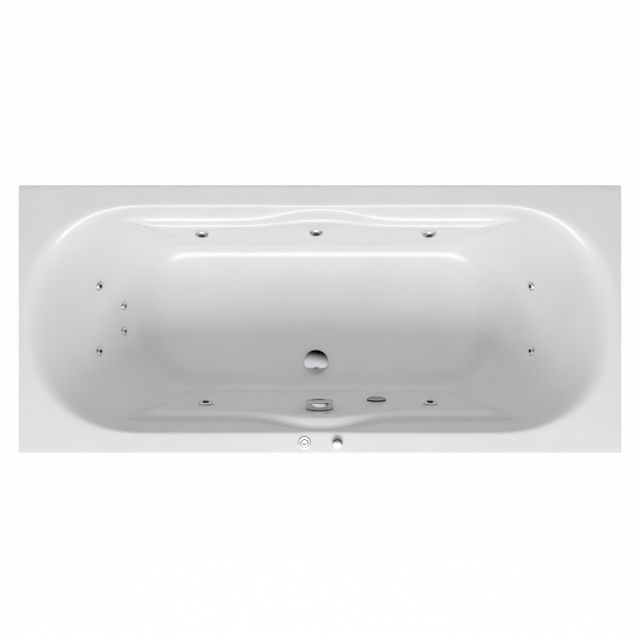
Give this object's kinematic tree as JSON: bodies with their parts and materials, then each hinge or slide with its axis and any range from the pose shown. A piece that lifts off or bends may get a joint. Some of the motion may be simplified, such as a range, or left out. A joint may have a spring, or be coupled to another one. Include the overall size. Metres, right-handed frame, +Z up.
{
  "type": "jetted bathtub",
  "caption": "Drop-in jetted bathtub with an oval-ended basin, armrest ledges, side and back jets, turn-knob waste, and pump and pipework on a steel frame.",
  "frame": {"origin": "centre of the footprint on the floor that the feet stand on", "axes": "+X along the bath's length towards the pump end, +Y towards the back long side, away from the rim controls, +Z up"},
  "size_m": [1.8, 0.8, 0.5945],
  "materials": {
    "acrylic": "gloss",
    "board": "matte",
    "painted_steel": "satin",
    "zinc_steel": "satin",
    "rubber_black": "matte",
    "chrome": "polished",
    "dark_nozzle": "gloss",
    "white_plastic": "gloss",
    "grey_pipe": "matte",
    "white_pipe": "satin",
    "black_plastic": "matte",
    "motor_aluminium": "cast",
    "lamination": "matte"
  },
  "bodies": {
    "tub": {"tub_shell": "acrylic", "base_board": "board", "support_frame": "painted_steel", "rim_posts": "painted_steel", "rim_pads": "rubber_black", "water_manifold": "white_pipe", "air_manifold": "grey_pipe", "back_manifold_left": "white_pipe", "back_manifold_right": "white_pipe", "side_jet_bodies": "white_plastic", "jet_nuts": "white_plastic", "back_jet_bodies": "white_plastic", "overflow_body": "grey_pipe", "overflow_pipe": "grey_pipe", "bowden_cable": "black_plastic", "drain_flange": "chrome", "drain_body": "grey_pipe", "suction_cover": "chrome", "suction_body": "white_plastic", "suction_pipe": "white_pipe", "button_housing": "chrome", "air_regulator": "grey_pipe", "air_tube": "rubber_black", "pump_housing": "black_plastic", "motor_casing": "motor_aluminium", "motor_stator": "lamination", "fan_cover": "black_plastic", "pump_plate": "zinc_steel", "terminal_box": "black_plastic", "air_switch": "black_plastic"},
    "overflow_knob": {"overflow_knob": "chrome"},
    "drain_plug": {"drain_cover": "chrome", "drain_seal": "rubber_black"},
    "start_button": {"start_button": "chrome"},
    "air_knob": {"air_knob": "chrome"},
    "pump_rotor": {"motor_rotor": "zinc_steel", "impeller": "black_plastic", "cooling_fan": "black_plastic"},
    "jet_ring_1": {"jet_ring_1": "chrome"},
    "jet_nozzle_1": {"jet_nozzle_1": "dark_nozzle"},
    "jet_ring_2": {"jet_ring_2": "chrome"},
    "jet_nozzle_2": {"jet_nozzle_2": "dark_nozzle"},
    "jet_ring_3": {"jet_ring_3": "chrome"},
    "jet_nozzle_3": {"jet_nozzle_3": "dark_nozzle"},
    "jet_ring_4": {"jet_ring_4": "chrome"},
    "jet_nozzle_4": {"jet_nozzle_4": "dark_nozzle"},
    "jet_ring_5": {"jet_ring_5": "chrome"},
    "jet_nozzle_5": {"jet_nozzle_5": "dark_nozzle"},
    "back_nozzle_1": {"back_nozzle_1": "chrome"},
    "back_nozzle_2": {"back_nozzle_2": "chrome"},
    "back_nozzle_3": {"back_nozzle_3": "chrome"},
    "back_nozzle_4": {"back_nozzle_4": "chrome"},
    "back_nozzle_5": {"back_nozzle_5": "chrome"},
    "back_nozzle_6": {"back_nozzle_6": "chrome"},
    "foot_1": {"foot_1": "zinc_steel"},
    "foot_2": {"foot_2": "zinc_steel"},
    "foot_3": {"foot_3": "zinc_steel"},
    "foot_4": {"foot_4": "zinc_steel"},
    "foot_5": {"foot_5": "zinc_steel"},
    "foot_6": {"foot_6": "zinc_steel"}
  },
  "joints": [
    {"name": "knob_turn", "type": "hinge", "parent": "tub", "child": "overflow_knob", "pos_m": [0.001, -0.27757, 0.464], "axis": [-0.0001, 0.9942, 0.108], "range_deg": [0, 120]},
    {"name": "plug_lift", "type": "slide", "parent": "tub", "child": "drain_plug", "axis": [0, 0, 1], "range_m": [0, 0.012]},
    {"name": "start_button_press", "type": "slide", "parent": "tub", "child": "start_button", "axis": [0, 0, -1], "range_m": [0, 0.004], "stiffness_N_per_m": 500, "springref_m": -0.004},
    {"name": "air_knob_turn", "type": "hinge", "parent": "tub", "child": "air_knob", "pos_m": [0.052, -0.369, 0.58], "axis": [0, 0, 1], "range_deg": [0, 270]},
    {"name": "pump_rotor_spin", "type": "hinge", "parent": "tub", "child": "pump_rotor", "pos_m": [0.79, 0, 0.222], "axis": [0, 1, 0], "continuous": true},
    {"name": "jet_ring_1_turn", "type": "hinge", "parent": "tub", "child": "jet_ring_1", "pos_m": [-0.367, 0.26907, 0.43], "axis": [0, -0.9959, 0.0908], "range_deg": [0, 90]},
    {"name": "jet_nozzle_1_tilt", "type": "hinge", "parent": "jet_ring_1", "child": "jet_nozzle_1", "pos_m": [-0.367, 0.27106, 0.42982], "axis": [1, 0, 0], "range_deg": [-12, 12]},
    {"name": "jet_ring_2_turn", "type": "hinge", "parent": "tub", "child": "jet_ring_2", "pos_m": [-0.009, 0.27387, 0.43], "axis": [0.0017, -0.9942, 0.108], "range_deg": [0, 90]},
    {"name": "jet_nozzle_2_tilt", "type": "hinge", "parent": "jet_ring_2", "child": "jet_nozzle_2", "pos_m": [-0.009, 0.27586, 0.42978], "axis": [1, 0, 0], "range_deg": [-12, 12]},
    {"name": "jet_ring_3_turn", "type": "hinge", "parent": "tub", "child": "jet_ring_3", "pos_m": [0.345, 0.26907, 0.43], "axis": [0, -0.9959, 0.0908], "range_deg": [0, 90]},
    {"name": "jet_nozzle_3_tilt", "type": "hinge", "parent": "jet_ring_3", "child": "jet_nozzle_3", "pos_m": [0.345, 0.27106, 0.42982], "axis": [1, 0, 0], "range_deg": [-12, 12]},
    {"name": "jet_ring_4_turn", "type": "hinge", "parent": "tub", "child": "jet_ring_4", "pos_m": [-0.355, -0.26907, 0.43], "axis": [0, 0.9959, 0.0908], "range_deg": [0, 90]},
    {"name": "jet_nozzle_4_tilt", "type": "hinge", "parent": "jet_ring_4", "child": "jet_nozzle_4", "pos_m": [-0.355, -0.27106, 0.42982], "axis": [1, 0, 0], "range_deg": [-12, 12]},
    {"name": "jet_ring_5_turn", "type": "hinge", "parent": "tub", "child": "jet_ring_5", "pos_m": [0.348, -0.26907, 0.43], "axis": [0, 0.9959, 0.0908], "range_deg": [0, 90]},
    {"name": "jet_nozzle_5_tilt", "type": "hinge", "parent": "jet_ring_5", "child": "jet_nozzle_5", "pos_m": [0.348, -0.27106, 0.42982], "axis": [1, 0, 0], "range_deg": [-12, 12]},
    {"name": "back_nozzle_1_turn", "type": "hinge", "parent": "tub", "child": "back_nozzle_1", "pos_m": [-0.70089, 0.105, 0.364], "axis": [0.8351, -0.2169, 0.5055], "range_deg": [0, 180]},
    {"name": "back_nozzle_2_turn", "type": "hinge", "parent": "tub", "child": "back_nozzle_2", "pos_m": [-0.70089, -0.105, 0.364], "axis": [0.8351, 0.2169, 0.5055], "range_deg": [0, 180]},
    {"name": "back_nozzle_3_turn", "type": "hinge", "parent": "tub", "child": "back_nozzle_3", "pos_m": [-0.64257, 0.042, 0.25], "axis": [0.8554, -0.0671, 0.5136], "range_deg": [0, 180]},
    {"name": "back_nozzle_4_turn", "type": "hinge", "parent": "tub", "child": "back_nozzle_4", "pos_m": [-0.64257, -0.042, 0.25], "axis": [0.8554, 0.0671, 0.5136], "range_deg": [0, 180]},
    {"name": "back_nozzle_5_turn", "type": "hinge", "parent": "tub", "child": "back_nozzle_5", "pos_m": [0.68575, 0.105, 0.339], "axis": [-0.8346, -0.2195, 0.5052], "range_deg": [0, 180]},
    {"name": "back_nozzle_6_turn", "type": "hinge", "parent": "tub", "child": "back_nozzle_6", "pos_m": [0.68575, -0.105, 0.339], "axis": [-0.8346, 0.2195, 0.5052], "range_deg": [0, 180]},
    {"name": "foot_1_screw", "type": "slide", "parent": "tub", "child": "foot_1", "axis": [0, 0, -1], "range_m": [0, 0.025]},
    {"name": "foot_2_screw", "type": "slide", "parent": "tub", "child": "foot_2", "axis": [0, 0, -1], "range_m": [0, 0.025]},
    {"name": "foot_3_screw", "type": "slide", "parent": "tub", "child": "foot_3", "axis": [0, 0, -1], "range_m": [0, 0.025]},
    {"name": "foot_4_screw", "type": "slide", "parent": "tub", "child": "foot_4", "axis": [0, 0, -1], "range_m": [0, 0.025]},
    {"name": "foot_5_screw", "type": "slide", "parent": "tub", "child": "foot_5", "axis": [0, 0, -1], "range_m": [0, 0.025]},
    {"name": "foot_6_screw", "type": "slide", "parent": "tub", "child": "foot_6", "axis": [0, 0, -1], "range_m": [0, 0.025]}
  ],
  "couplings": [
    {"joint": "plug_lift", "follows": "knob_turn", "m_per_rad": 0.00572}
  ]
}
